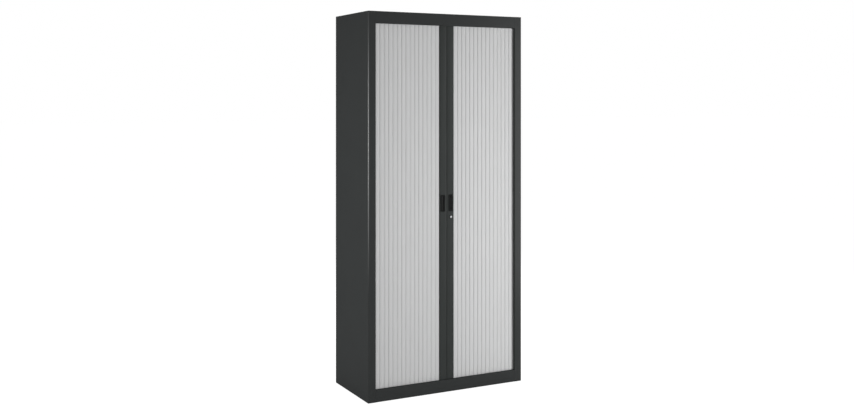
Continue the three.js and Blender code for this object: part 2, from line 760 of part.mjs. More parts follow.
function lockPlug() {
  const front = railFrontY - LOCK_PROUD - PLUG_PROUD;
  const bodyRear = railFrontY + LOCK_BODY_LENGTH;
  const profile = [
    [0, front],
    [PLUG_RADIUS, front],
    [PLUG_RADIUS, bodyRear],
    [SPINDLE_RADIUS, bodyRear],
    [SPINDLE_RADIUS, camRearY],
    [0, camRearY],
  ];
  const keyway = block(
    [LOCK_X - KEYWAY_WIDTH / 2, front - CUT_OVERRUN, LOCK_Z - KEYWAY_HEIGHT / 2],
    [LOCK_X + KEYWAY_WIDTH / 2, front + KEYWAY_DEPTH, LOCK_Z + KEYWAY_HEIGHT / 2],
  );
  return cut(turnedOnY(profile, LOCK_X, LOCK_Z), keyway);
}

// The cam hangs inside the rail while the lock is open, and reaches into the other rail when it is turned.
function lockCam() {
  const end = CAM_WIDTH / 2;
  const hub = pt(LOCK_X, LOCK_Z);
  const outline = new THREE.Shape([
    ...arc(hub, end, 0, Math.PI, 2 * CORNER_STEPS),
    pt(LOCK_X - end, LOCK_Z - CAM_REACH),
    pt(LOCK_X + end, LOCK_Z - CAM_REACH),
  ]);
  const radius = SPINDLE_RADIUS + JOINT_GAP;
  const hole = arc(hub, radius, 0, 2 * Math.PI, ROUND_STEPS / 2);
  outline.holes.push(new THREE.Path(hole.slice(0, -1)));
  return alongY(outline, camFrontY, camRearY);
}

// Assembly

const cabinet = new THREE.Group();

function place(parent, name, geometry, finish) {
  const mesh = new THREE.Mesh(geometry, new THREE.MeshStandardMaterial(finishes[finish]));
  mesh.name = name;
  parent.add(mesh);
  return mesh;
}

function buildSide(side) {
  const half = new THREE.Group();
  half.scale.x = side === "left" ? -1 : 1;
  place(half, `side_panel_${side}`, sidePanel(), "frame");
  place(half, `liner_${side}`, liner(), "inner");
  place(half, `lower_track_${side}`, track(PLINTH_HEIGHT - TRACK_DEPTH - TRACK_WALL, PLINTH_HEIGHT), "track");
  place(half, `upper_track_${side}`, track(headerZ + TRACK_DEPTH + TRACK_WALL, headerZ), "track");
  return half;
}

function buildDoor(side) {
  const door = new THREE.Group();
  door.scale.x = side === "left" ? -1 : 1;
  const rail = side === "left" ? leadRail() : cut(leadRail(), lockHole());
  place(door, `lead_rail_${side}`, rail, "rail");
  place(door, `handle_${side}`, handle(), "handle");
  const slatShape = slat();
  let distance = firstPivot;
  for (let n = 1; n <= slatsPerDoor; n += 1) {
    const start = pathAt(distance);
    distance = nextPivot(distance);
    const heading = pathAt(distance).sub(start);
    const name = `slat_${side}_${String(n).padStart(2, "0")}`;
    const mesh = place(door, name, slatShape, "curtain");
    mesh.position.set(start.x, start.y, 0);
    mesh.rotation.z = heading.angle();
  }
  return door;
}

place(cabinet, "top_panel", topPanel(), "frame");
place(cabinet, "plinth_rail", plinthRail(), "frame");
place(cabinet, "back_panel", backPanel(), "frame");
place(cabinet, "base_pan", basePan(), "inner");
place(cabinet, "crown_pan", pan(crownPanZ, panelTopZ), "inner");
for (let n = 1; n <= SHELVES; n += 1) place(cabinet, `shelf_${n}`, shelf(shelfRow(n)), "inner");
for (const [corner, x, y] of footPlaces()) place(cabinet, `foot_${corner}`, foot(x, y), "zinc");
cabinet.add(buildSide("left"), buildSide("right"), buildDoor("left"), buildDoor("right"));
place(cabinet, "lock_housing", lockHousing(), "handle");
place(cabinet, "lock_plug", lockPlug(), "chrome");
place(cabinet, "lock_cam", lockCam(), "zinc");

export default cabinet;
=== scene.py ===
"""A tambour door cabinet, dressed for rendering around its packed frame.

Metres. The origin lies on the floor under the middle of the body, +Z is up and the doors face -Y.
Right-hand pieces are modelled at +X, and the left-hand ones are their mirror image.
"""

import math

import bmesh
import bpy
from bpy.props import FloatProperty, FloatVectorProperty, IntProperty, PointerProperty
from mathutils import Matrix, Vector


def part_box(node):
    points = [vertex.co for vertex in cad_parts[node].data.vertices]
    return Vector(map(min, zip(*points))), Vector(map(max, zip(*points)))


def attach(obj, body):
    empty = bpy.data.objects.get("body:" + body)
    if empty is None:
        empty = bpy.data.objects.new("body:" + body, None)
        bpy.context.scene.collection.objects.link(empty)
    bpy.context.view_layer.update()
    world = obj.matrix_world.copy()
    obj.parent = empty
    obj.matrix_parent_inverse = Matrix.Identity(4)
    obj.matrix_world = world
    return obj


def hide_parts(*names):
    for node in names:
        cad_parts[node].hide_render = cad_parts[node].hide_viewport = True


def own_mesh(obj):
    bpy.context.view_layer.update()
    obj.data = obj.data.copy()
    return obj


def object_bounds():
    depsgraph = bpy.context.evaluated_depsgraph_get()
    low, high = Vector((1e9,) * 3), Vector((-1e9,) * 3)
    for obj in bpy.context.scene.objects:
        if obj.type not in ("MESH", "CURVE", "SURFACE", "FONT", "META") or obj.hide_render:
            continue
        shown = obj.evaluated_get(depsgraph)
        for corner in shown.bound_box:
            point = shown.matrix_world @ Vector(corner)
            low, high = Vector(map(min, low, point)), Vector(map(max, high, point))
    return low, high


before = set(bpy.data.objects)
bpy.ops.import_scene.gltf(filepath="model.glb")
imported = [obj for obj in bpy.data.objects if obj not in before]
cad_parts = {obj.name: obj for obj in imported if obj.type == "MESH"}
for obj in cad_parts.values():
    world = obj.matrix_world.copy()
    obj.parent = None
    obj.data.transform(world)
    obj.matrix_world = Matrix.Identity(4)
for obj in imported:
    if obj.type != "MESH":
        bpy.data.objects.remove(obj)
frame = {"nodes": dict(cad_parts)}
cad_low, cad_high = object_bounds()

bl_info = {
    "name": "Tambour Door Cabinet",
    "version": (1, 0, 0),
    "blender": (4, 5, 0),
    "location": "View3D > Sidebar > Tambour",
    "description": "Builds a tambour door cabinet with its folded body, curtains, pulls and lock",
    "category": "Object",
}

SIDES = (("left", -1), ("right", 1))
CORNERS = ("front_left", "front_right", "rear_left", "rear_right")
SLATS_PER_DOOR = sum(name.startswith("slat_right_") for name in frame["nodes"])
X_AXIS, Y_AXIS, Z_AXIS = (Vector(row) for row in Matrix.Identity(3))
QUARTER = math.pi / 2
SMOOTH_ANGLE = math.radians(32)
FOLD_ANGLE = math.radians(80)
CUT_EDGE_ANGLE = math.radians(50)
PARALLEL = math.cos(math.radians(1))
OVERRUN = 0.002
FIT_GAP = 0.0003
MERGE_GAP = 1e-7
CORNER_STEPS = 6
SMALL_STEPS = 3
EDGE_STEPS = 4
HEAD_STEPS = 5
THREAD_FLANK = 0.42
HALVINGS = 40
STREAK_STRETCH = 0.004
# Reach of the coat gloss that paints the fold highlight, as a share of the bend
HIGHLIGHT_MARGIN = 1.1
PATTERN_INPUTS = ("Colour Spread", "Roughness", "Roughness Spread", "Grain Scale", "Mottle Scale")

SLOT_MATERIALS = {
    "frame_paint": "Frame paint",
    "inner_paint": "Inner paint",
    "rail_paint": "Rail paint",
    "slat_plastic": "Slat plastic",
    "handle_plastic": "Pull plastic",
    "track_plastic": "Track plastic",
    "lock_chrome": "Chrome",
    "zinc": "Zinc",
}

LAMPS = (
    ("Key lamp", (1.95, -2.45, 1.06), (0.2, -0.2, 1.0), (0.36, 2.2), "key_power"),
    ("Fill lamp", (-1.5, -2.2, 1.2), (-0.45, -0.2, 1.05), (0.25, 0.8), "fill_power"),
    ("Side lamp", (-2.6, -0.2, 1.15), (-0.45, -0.1, 1.0), (0.6, 1.6), "side_power"),
    ("Rear lamp", (1.9, 2.3, 3.0), (0.1, 0.1, 1.2), (1.2, 1.2), "rear_power"),
)
CAMERA_PLACE = (-2.5267, -4.8608, 1.5357)
CAMERA_HEADING = math.radians(-27.368)
CAMERA_SHIFT = -0.1243
WHITE = (1.0, 1.0, 1.0, 1.0)


def length(name, description, default):
    """A size in metres that a user can change."""
    return FloatProperty(
        name=name, description=description, default=default, min=0.0, unit="LENGTH", precision=5
    )


def count(name, description, default):
    """A number of steps."""
    return IntProperty(name=name, description=description, default=default, min=1)


def share(name, description, default, most=1.0):
    """A plain value without a unit."""
    return FloatProperty(name=name, description=description, default=default, min=0.0, max=most)


def colour(name, description, default):
    """A linear colour."""
    value = (*default, 1.0)
    return FloatVectorProperty(
        name=name, description=description, default=value, size=4, subtype="COLOR", min=0.0, max=1.0
    )


class BodySizes(bpy.types.PropertyGroup):
    """Folded steel body."""

    sheet: length("Sheet", "Thickness of the steel sheet", 0.001)
    bend: length("Bend", "Outer radius of the side panels' folds", 0.003)
    bend_steps: count("Bend steps", "Faces round each fold", 6)
    stile: length("Stile", "Width of the front stiles", 0.042)
    header: length("Header", "Height of the header over the doors", 0.062)
    plinth: length("Plinth", "Height of the plinth under the doors", 0.065)
    return_depth: length("Return", "Depth of the returns round the door opening", 0.013)
    rear_flange: length("Rear flange", "Width of the flanges at the rear", 0.018)
    plinth_lip: length("Plinth lip", "Depth of the lip under the plinth", 0.012)
    top_bend: length("Top bend", "Outer radius of the folds of top and plinth", 0.0015)
    edge_break: length("Edge break", "Rounding of the cut sheet edges", 0.0002)
    # The next two place the coat gloss that paints a highlight on the front left fold.
    highlight_height: length("Highlight height", "Height at which the painted fold highlight is strongest", 1.32)
    highlight_reach: length("Highlight reach", "How far up and down the painted fold highlight fades", 0.88)


class CurtainSizes(bpy.types.PropertyGroup):
    """Interlocking slats and the path of their pivots."""

    bead: length("Bead", "Radius of the bead that the next hook clasps", 0.0019)
    pivot_gap: length("Pivot gap", "Play between bead and hook", 0.0003)
    hook_wall: length("Hook wall", "Thickness of the hook", 0.0011)
    neck: length("Neck", "Thickness of the web that carries the bead", 0.0012)
    socket_gap: length("Socket gap", "Play round the outside of the hook", 0.0004)
    groove: length("Groove", "Gap between the faces of two slats", 0.0014)
    skin: length("Skin", "Wall of the slat", 0.0011)
    crown: length("Crown", "Rise of the face over its edges", 0.0009)
    back_inset: length("Back inset", "Set-back of the rear face from the hook", 0.0003)
    edge_radius: length("Edge radius", "Rounding of the long edges of the face", 0.0007)
    turn_radius: length("Turn radius", "Radius of the track round the corner", 0.042)
    side_gap: length("Side gap", "From the side panel's inner face to the pivots", 0.011)
    round_steps: count("Round steps", "Faces round each bead and hook", 16)
    keep: share("Folded share", "Share of its width that a stowed curtain keeps", 0.012)


class RailSizes(bpy.types.PropertyGroup):
    """Lead rails, where the doors meet."""

    wall: length("Wall", "Wall of the rail", 0.0015)
    corner: length("Corner", "Outer radius of the front corners", 0.002)
    side_step: length("Side step", "Step that clears the first hook", 0.0045)
    plug: length("Plug", "Height of the end plugs", 0.012)
    tongue_inset: length("Tongue inset", "From the meeting edge to the guide tongue", 0.0035)
    tongue_width: length("Tongue width", "Width of the guide tongue", 0.024)
    end_gap: length("End gap", "Gap from the rail to header and plinth", 0.0005)
    slot_clearance: length("Slot clearance", "Play of the cam in its slots", 0.0012)


class PullSizes(bpy.types.PropertyGroup):
    """Recessed pulls and the cam lock."""

    rim: length("Rim", "Width of the rim on the rail's face", 0.0032)
    corner: length("Corner", "Radius of the corners of the pull", 0.005)
    softening: length("Softening", "Rounding of the rim's edges", 0.0011)
    wall: length("Cup wall", "Wall of the cup", 0.0015)
    lip: length("Pull lip", "Overhang that the fingers pull on", 0.004)
    bore: length("Bore", "Radius of the plug's bore in the housing", 0.0063)
    head_softening: length("Head softening", "Rounding of the lock's head", 0.0011)
    head_thickness: length("Head thickness", "Thickness of the lock's head", 0.0023)
    body_radius: length("Lock body", "Radius of the housing behind the rail's face", 0.0076)
    spindle: length("Spindle", "Radius of the plug's spindle in the cam", 0.0026)
    keyway_width: length("Keyway width", "Width of the keyway", 0.0018)
    keyway_height: length("Keyway height", "Height of the keyway", 0.0066)
    keyway_depth: length("Keyway depth", "Depth of the keyway", 0.009)
    round_steps: count("Round steps", "Faces round the lock", 48)


class FootSizes(bpy.types.PropertyGroup):
    """Levelling feet."""

    pad_edge: length("Pad edge", "Height of the pad's edge", 0.004)
    pad_crown: length("Pad crown", "Rise of the pad towards its hub", 0.004)
    hub: length("Hub", "Radius of the hub", 0.008)
    stem: length("Stem", "Outer radius of the thread", 0.005)
    thread_depth: length("Thread depth", "Depth of the thread", 0.0009)
    thread_pitch: length("Thread pitch", "Pitch of the thread", 0.0015)
    softening: length("Softening", "Rounding of the pad's edges", 0.0012)
    round_steps: count("Round steps", "Faces round each foot", 32)


class Finishes(bpy.types.PropertyGroup):
    """Colours and gloss of the finishes."""

    frame: colour("Frame paint", "Powder coat of the body", (0.0362, 0.0386, 0.0385))
    inner: colour("Inner paint", "Powder coat inside the body", (0.0375, 0.0405, 0.0405))
    rail: colour("Rail paint", "Coating of the lead rails", (0.0378, 0.0413, 0.0400))
    slat: colour("Slat plastic", "Plastic of the curtains", (0.575, 0.578, 0.580))
    pull: colour("Pull plastic", "Plastic of the pulls and the lock housing", (0.0160, 0.0170, 0.0166))
    track: colour("Track plastic", "Plastic of the tracks and glides", (0.020, 0.021, 0.022))
    chrome: colour("Chrome", "Plating of the lock plug", (0.225, 0.228, 0.232))
    zinc: colour("Zinc", "Plating of the feet and the cam", (0.40, 0.41, 0.42))
    # The next line sets coat gloss that paints a highlight on the front left fold.
    fold_highlight: share("Fold highlight", "Gloss that paints a highlight on the front left fold", 0.9)
    # The next line sets coat gloss inside the pull cups: a painted reflection that lightens their shade.
    cup_reflection: share("Cup reflection", "Gloss inside the pulls, a painted reflection that lightens their shaded cups", 0.9)
    paint_roughness: share("Paint roughness", "Roughness of the powder coat", 0.32)
    paint_gloss: share("Paint gloss", "Gloss of the powder coat", 0.033)
    slat_roughness: share("Slat roughness", "Roughness of the slats", 0.5)


class Studio(bpy.types.PropertyGroup):
    """Lamps, background and camera."""

    ambient: share("Ambient", "Level of the light from all round", 0.25, 5.0)
    key_power: share("Key power", "Power of the tall lamp at the front right", 54.0, 1000.0)
    fill_power: share("Fill power", "Power of the lamp at the front left", 9.8, 1000.0)
    side_power: share("Side power", "Power of the lamp at the left side", 30.0, 1000.0)
    rear_power: share("Rear power", "Power of the lamp behind and above", 110.0, 1000.0)
    floor_pale: share("Floor colour", "Grey level of the floor where it lights the cabinet", 0.82)
    floor_shade: share("Floor shading", "Grey level of the floor where it is seen", 0.25)
    floor_lift: share("Floor glow", "Glow of the floor where it is seen", 0.94, 2.0)
    floor_half: length("Floor", "Half the width of the floor", 60.0)
    lens: FloatProperty(name="Lens", description="Focal length in millimetres", default=42.547, min=1.0)


# Marks on the drawing board


class Pen:
    """Draws a closed outline in the XY plane of a bmesh, line by line and arc by arc."""

    def __init__(self, bm, start):
        self.bm = bm
        self.first = self.tip = bm.verts.new((*start, 0.0))

    def line(self, point):
        ahead = self.bm.verts.new((*point, 0.0))
        self.bm.edges.new((self.tip, ahead))
        self.tip = ahead
        return self

    def arc(self, centre, angle, steps):
        middle = (*centre, 0.0)
        swept = bmesh.ops.spin(self.bm, geom=[self.tip], cent=middle, axis=Z_AXIS, angle=angle, steps=steps)
        self.tip = points_of(swept["geom_last"])[0]
        return self

    def close(self):
        self.bm.edges.new((self.tip, self.first))


def points_of(geometry):
    """The vertices among mixed geometry."""
    return [item for item in geometry if isinstance(item, bmesh.types.BMVert)]


def polar(centre, radius, angle):
    """The point at an angle round a centre."""
    return centre[0] + radius * math.cos(angle), centre[1] + radius * math.sin(angle)


def outline(bm, points):
    """A closed outline through the points."""
    pen = Pen(bm, points[0])
    for point in points[1:]:
        pen.line(point)
    pen.close()


def draw_out(bm, low, high):
    """Fills the outlines in the XY plane, leaving the inner ones open, and draws them out along Z."""
    filled = bmesh.ops.triangle_fill(bm, use_beauty=True, edges=bm.edges[:])
    faces = [item for item in filled["geom"] if isinstance(item, bmesh.types.BMFace)]
    bmesh.ops.translate(bm, verts=bm.verts[:], vec=Z_AXIS * low)
    drawn = bmesh.ops.extrude_face_region(bm, geom=faces)
    bmesh.ops.translate(bm, verts=points_of(drawn["geom"]), vec=Z_AXIS * (high - low))
    bmesh.ops.recalc_face_normals(bm, faces=bm.faces[:])


def block(low, high):
    """A box between two corners, in a bmesh of its own."""
    low, high = Vector(low), Vector(high)
    bm = bmesh.new()
    bmesh.ops.create_cube(bm, size=1.0)
    bmesh.ops.scale(bm, vec=high - low, verts=bm.verts[:])
    bmesh.ops.translate(bm, vec=(low + high) / 2, verts=bm.verts[:])
    return bm


def edges_along(bm, axis):
    """Edges that run along an axis."""
    return [
        edge
        for edge in bm.edges
        if abs((edge.verts[1].co - edge.verts[0].co).normalized().dot(axis)) > PARALLEL
    ]


def soften(bm, geometry, radius, steps, affect="EDGES"):
    """Rounds edges, or the corners of an outline, to a radius."""
    bmesh.ops.bevel(
        bm,
        geom=geometry,
        offset=radius,
        segments=steps,
        profile=0.5,
        affect=affect,
        material=-1,
        clamp_overlap=True,
    )


def rounded_block(low, high, axis, radius, steps=CORNER_STEPS):
    """A box whose edges along one axis are rounded."""
    bm = block(low, high)
    soften(bm, edges_along(bm, axis), radius, steps)
    return bm


def turned(profile, centre, axis, steps):
    """A piece turned from a profile of radii and places on the axis, closed on the axis or on itself."""
    bm = bmesh.new()
    verts = [bm.verts.new(centre + X_AXIS * radius + axis * place) for radius, place in profile]
    edges = [bm.edges.new(pair) for pair in zip(verts, verts[1:])]
    if profile[0][0] > 0:
        edges.append(bm.edges.new((verts[-1], verts[0])))
    bmesh.ops.spin(
        bm, geom=verts + edges, cent=centre, axis=axis, angle=2 * math.pi, steps=steps, use_merge=True
    )
    bmesh.ops.remove_doubles(bm, verts=bm.verts[:], dist=MERGE_GAP)
    bmesh.ops.recalc_face_normals(bm, faces=bm.faces[:])
    return bm


def strip(corners, place, low, high):
    """The outer face of a sheet through its corners, drawn out from low to high, with sharp folds."""
    bm = bmesh.new()
    verts = [bm.verts.new(place(*corner, low)) for corner in corners]
    edges = [bm.edges.new(pair) for pair in zip(verts, verts[1:])]
    drawn = bmesh.ops.extrude_edge_only(bm, edges=edges)
    bmesh.ops.translate(bm, verts=points_of(drawn["geom"]), vec=place(0, 0, high - low))
    return bm


def folded(bm, radius, steps, wall):
    """Rounds the folds of a strip and gives it the thickness of its sheet."""
    bm.normal_update()
    folds = [edge for edge in bm.edges if edge.calc_face_angle(0.0) > FOLD_ANGLE]
    soften(bm, folds, radius, steps)
    bm.normal_update()
    bmesh.ops.solidify(bm, geom=bm.faces[:], thickness=wall)
    return bm


def upright(x, y, z):
    """Place of a section drawn in X and Y, and run along Z."""
    return Vector((x, y, z))


def lengthwise(y, z, x):
    """Place of a section drawn in Y and Z, and run along X."""
    return Vector((x, y, z))


def mirrored(bm, side):
    """The left-hand piece from the right-hand one."""
    if side < 0:
        bmesh.ops.scale(bm, vec=(-1.0, 1.0, 1.0), verts=bm.verts[:])
        bmesh.ops.reverse_faces(bm, faces=bm.faces[:])
    return bm


def to_mesh(bm, name):
    """Turns a bmesh into a smooth mesh with its sharp edges kept."""
    mesh = bpy.data.meshes.new(name)
    bm.to_mesh(mesh)
    bm.free()
    mesh.shade_smooth()
    mesh.set_sharp_from_angle(angle=SMOOTH_ANGLE)
    return mesh


def to_object(name, data):
    """An object in the scene."""
    item = bpy.data.objects.new(name, data)
    bpy.context.collection.objects.link(item)
    return item


def combine(bm, others, operation):
    """Cuts the other solids out of the first, or joins them to it."""
    solid = to_object("solid", to_mesh(bm, "solid"))
    tools = [to_object("tool", to_mesh(other, "tool")) for other in others]
    for tool in tools:
        step = solid.modifiers.new(operation, "BOOLEAN")
        step.operation = operation
        step.solver = "EXACT"
        step.object = tool
    result = bmesh.new()
    result.from_object(solid, bpy.context.evaluated_depsgraph_get())
    bmesh.ops.remove_doubles(result, verts=result.verts[:], dist=MERGE_GAP)
    for item in (solid, *tools):
        mesh = item.data
        bpy.data.objects.remove(item)
        bpy.data.meshes.remove(mesh)
    return result


def place_piece(name, bm, body, slot_name, *nodes):
    """Makes a piece from a bmesh, with its finish, and lets it ride in place of its nodes."""
    piece = to_object(name, to_mesh(bm, name))
    piece.data.materials.append(bpy.data.materials[SLOT_MATERIALS[slot_name]])
    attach(piece, body)
    if nodes:
        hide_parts(*nodes)
    return piece


def break_edges(piece, width):
    """Rounds the cut edges of a sheet a little."""
    step = piece.modifiers.new("Edge break", "BEVEL")
    step.width = width
    step.segments = 2
    step.limit_method = "ANGLE"
    step.angle_limit = CUT_EDGE_ANGLE
    level_faces(piece)


def level_faces(piece):
    """Keeps the flat faces of a folded sheet flat in the light, beside its smooth folds."""
    step = piece.modifiers.new("Flat faces", "WEIGHTED_NORMAL")
    step.keep_sharp = True


# Finishes


def feed(tree, node, inputs):
    """Gives a node its inputs by name or number, each a socket to link or a plain value."""
    for key, value in inputs.items():
        if isinstance(value, bpy.types.NodeSocket):
            tree.links.new(value, node.inputs[key])
        else:
            node.inputs[key].default_value = value


def add_node(tree, kind, inputs=None, **settings):
    """A shader node with its settings and its inputs."""
    node = tree.nodes.new(f"ShaderNode{kind}")
    for name, value in settings.items():
        setattr(node, name, value)
    feed(tree, node, inputs or {})
    return node


def arithmetic(tree, operation, *values):
    """The result of a maths node on sockets and numbers."""
    return add_node(tree, "Math", dict(enumerate(values)), operation=operation).outputs[0]


def vector_work(tree, operation, inputs):
    """The results of a vector maths node."""
    return add_node(tree, "VectorMath", inputs, operation=operation).outputs


def spread_about(tree, level, spread, mask):
    """level + spread * (mask - 0.5), for sockets."""
    return arithmetic(tree, "MULTIPLY_ADD", arithmetic(tree, "SUBTRACT", mask, 0.5), spread, level)


def node_group(name, inputs, outputs):
    """A shader node group with its sockets, whose kinds are given by name."""
    group = bpy.data.node_groups.new(name, "ShaderNodeTree")
    for way, sockets in (("INPUT", inputs), ("OUTPUT", outputs)):
        for label, kind in sockets.items():
            group.interface.new_socket(name=label, in_out=way, socket_type=f"NodeSocket{kind}")
    return group, group.nodes.new("NodeGroupInput").outputs, group.nodes.new("NodeGroupOutput")


def surface_group(name, stretch):
    """Grain, mottling and height of a finish. The stretch draws the pattern out along Z."""
    inputs = {"Position": "Vector", "Colour": "Color", **dict.fromkeys(PATTERN_INPUTS, "Float")}
    outputs = {"Colour": "Color", "Roughness": "Float", "Height": "Float"}
    group, given, made = node_group(name, inputs, outputs)
    spot = given["Position"]
    if stretch != 1.0:
        spot = add_node(group, "Mapping", {"Vector": spot, "Scale": (1.0, 1.0, stretch)}).outputs["Vector"]
    grain, mottle = (
        add_node(group, "TexNoise", {"Vector": spot, "Scale": scale, "Detail": detail}).outputs["Fac"]
        for scale, detail in ((given["Grain Scale"], 2.0), (given["Mottle Scale"], 3.0))
    )
    brightness = spread_about(group, 1.0, given["Colour Spread"], mottle)
    speckled = spread_about(group, brightness, given["Colour Spread"], grain)
    shade = vector_work(group, "SCALE", {0: given["Colour"], "Scale": speckled})[0]
    rough = spread_about(group, given["Roughness"], given["Roughness Spread"], mottle)
    feed(group, made, {"Colour": shade, "Roughness": rough, "Height": grain})
    return group


def fold_highlight_mask_group():
    """A mask round an upright line, strongest at its centre's height and fading up and down: it places the
    coat gloss that paints the highlight on the front left fold.
    """
    inputs = {"Position": "Vector", "Centre": "Vector"}
    inputs |= dict.fromkeys(("Reach", "Half Height", "Amount", "Elsewhere"), "Float")
    group, given, made = node_group("Rubbed smooth", inputs, {"Mask": "Float"})
    away = vector_work(group, "SUBTRACT", {0: given["Position"], 1: given["Centre"]})[0]
    flat = vector_work(group, "MULTIPLY", {0: away, 1: (1.0, 1.0, 0.0)})[0]
    across = vector_work(group, "LENGTH", {0: flat})["Value"]
    beside = arithmetic(group, "LESS_THAN", across, given["Reach"])
    height = arithmetic(group, "ABSOLUTE", add_node(group, "SeparateXYZ", {0: away}).outputs["Z"])
    limits = {"From Max": given["Half Height"], "To Min": 1.0, "To Max": 0.0}
    level = add_node(group, "MapRange", {"Value": height, **limits}, interpolation_type="SMOOTHSTEP")
    zone = arithmetic(group, "MULTIPLY", beside, level.outputs["Result"])
    gloss_zone = arithmetic(group, "MULTIPLY", zone, given["Amount"])
    feed(group, made, {"Mask": arithmetic(group, "MAXIMUM", gloss_zone, given["Elsewhere"])})
    return group


def inside_group():
    """A mask for whatever lies behind an upright face."""
    inputs = {"Position": "Vector", "Face": "Float", "Amount": "Float"}
    group, given, made = node_group("Behind a face", inputs, {"Mask": "Float"})
    depth = add_node(group, "SeparateXYZ", {0: given["Position"]}).outputs["Y"]
    behind = arithmetic(group, "GREATER_THAN", depth, given["Face"])
    feed(group, made, {"Mask": arithmetic(group, "MULTIPLY", behind, given["Amount"])})
    return group


def finish(name, group, base, pattern, relief, shine):
    """A material with a pattern, in the order of PATTERN_INPUTS, and a bump's strength and distance."""
    material = bpy.data.materials.new(name)
    material.use_nodes = True
    tree = material.node_tree
    spot = add_node(tree, "TexCoord").outputs["Object"]
    given = {"Position": spot, "Colour": base, **dict(zip(PATTERN_INPUTS, pattern))}
    made = add_node(tree, "Group", given, node_tree=group, label=group.name).outputs
    bumps = {"Strength": relief[0], "Distance": relief[1], "Height": made["Height"]}
    normal = add_node(tree, "Bump", bumps).outputs["Normal"]
    surface = {"Base Color": made["Colour"], "Roughness": made["Roughness"], "Normal": normal}
    feed(tree, tree.nodes["Principled BSDF"], {**surface, **shine})


def add_gloss_zone(name, group, zone, shine):
    """Adds coat gloss to a finish within a mask, painting a highlight or reflection there."""
    tree = bpy.data.materials[name].node_tree
    spot = add_node(tree, "TexCoord").outputs["Object"]
    gloss_zone = add_node(tree, "Group", {"Position": spot, **zone}, node_tree=group, label=group.name)
    feed(tree, tree.nodes["Principled BSDF"], {"Coat Weight": gloss_zone.outputs["Mask"], **shine})


class TAMBOUR_OT_finishes(bpy.types.Operator):
    """Makes the paints, plastics and platings"""

    bl_idname = "tambour.finishes"
    bl_label = "Finishes"

    def execute(self, context):
        look = context.scene.tambour_finishes
        body = context.scene.tambour_body
        coat = surface_group("Powder coat grain", 1.0)
        drawn = surface_group("Extruded streaks", STREAK_STRETCH)
        paint = (0.10, look.paint_roughness, 0.06, 1100.0, 6.0)
        gloss = {"Specular IOR Level": 0.0, "Coat Weight": look.paint_gloss}
        gloss |= {"Coat Roughness": 0.28, "Coat IOR": 2.0}
        paints = {"Frame paint": look.frame, "Inner paint": look.inner, "Rail paint": look.rail}
        for name, base in paints.items():
            finish(name, coat, base, paint, (0.35, 0.0001), gloss)
        extruded = (0.025, look.slat_roughness, 0.08, 800.0, 25.0)
        finish("Slat plastic", drawn, look.slat, extruded, (0.10, 0.00005), {"Specular IOR Level": 0.35})
        moulded = (0.12, 0.5, 0.1, 1600.0, 7.0)
        finish("Pull plastic", coat, look.pull, moulded, (0.3, 0.0001), {"Specular IOR Level": 0.02})
        dark = (0.1, 0.55, 0.1, 700.0, 7.0)
        finish("Track plastic", coat, look.track, dark, (0.15, 0.0001), {"Specular IOR Level": 0.3})
        plated = (0.03, 0.34, 0.08, 900.0, 260.0)
        finish("Chrome", coat, look.chrome, plated, (0.05, 0.00005), {"Metallic": 1.0})
        galvanised = (0.2, 0.42, 0.2, 900.0, 120.0)
        finish("Zinc", coat, look.zinc, galvanised, (0.15, 0.0001), {"Metallic": 1.0})
        # Coat gloss on the left-hand front fold only, strongest at one height and fading up and down: a
        # painted highlight.
        fold = {
            "Centre": (cad_low.x + body.bend, cad_low.y + body.bend, body.highlight_height),
            "Reach": body.bend * HIGHLIGHT_MARGIN,
            "Half Height": body.highlight_reach,
            "Amount": look.fold_highlight,
            "Elsewhere": look.paint_gloss,
        }
        add_gloss_zone("Frame paint", fold_highlight_mask_group(), fold, {})
        # Coat gloss behind the rail's face, inside the pull cups: a painted reflection that lightens the
        # shaded recess.
        cup = {"Face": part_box("lead_rail_right")[0].y, "Amount": look.cup_reflection}
        add_gloss_zone("Pull plastic", inside_group(), cup, {"Coat Roughness": 0.35, "Coat IOR": 1.9})
        return {"FINISHED"}


# Body


def notch_return(bm, opening, level):
    """Cuts the return away beyond a level, so that the stile lies flat against its neighbour."""
    everything = bm.verts[:] + bm.edges[:] + bm.faces[:]
    bmesh.ops.bisect_plane(bm, geom=everything, plane_co=Z_AXIS * level, plane_no=Z_AXIS)
    beyond = math.copysign(1.0, level - cad_high.z / 2)
    spare = [
        face
        for face in bm.faces
        if all(abs(vert.co.x - opening) < FIT_GAP for vert in face.verts)
        and (face.calc_center_median().z - level) * beyond > 0
    ]
    bmesh.ops.delete(bm, geom=spare, context="FACES")


class TAMBOUR_OT_side_shells(bpy.types.Operator):
    """Folds the side panels with their stiles, notched returns and rear flanges"""

    bl_idname = "tambour.side_shells"
    bl_label = "Side shells"

    def execute(self, context):
        body = context.scene.tambour_body
        low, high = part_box("side_panel_right")
        opening = high.x - body.stile
        corners = [
            (high.x - body.rear_flange, high.y),
            (high.x, high.y),
            (high.x, low.y),
            (opening, low.y),
            (opening, low.y + body.return_depth),
        ]
        for name, side in SIDES:
            bm = strip(corners, upright, low.z, high.z)
            notch_return(bm, opening, body.plinth)
            notch_return(bm, opening, cad_high.z - body.header)
            bm = mirrored(folded(bm, body.bend, body.bend_steps, body.sheet), side)
            piece = place_piece(f"side_shell_{name}", bm, "carcass", "frame_paint", f"side_panel_{name}")
            break_edges(piece, body.edge_break)
        return {"FINISHED"}


def cap_wing(body, side, inner, low, high):
    """The flat sheet over one side panel, its corners rounded like the folds below them."""
    bm = block((inner - body.sheet, low.y, high.z - body.sheet), high)
    corners = [edge for edge in edges_along(bm, Z_AXIS) if edge.verts[0].co.x > high.x - FIT_GAP]
    soften(bm, corners, body.bend, body.bend_steps)
    return mirrored(bm, side)


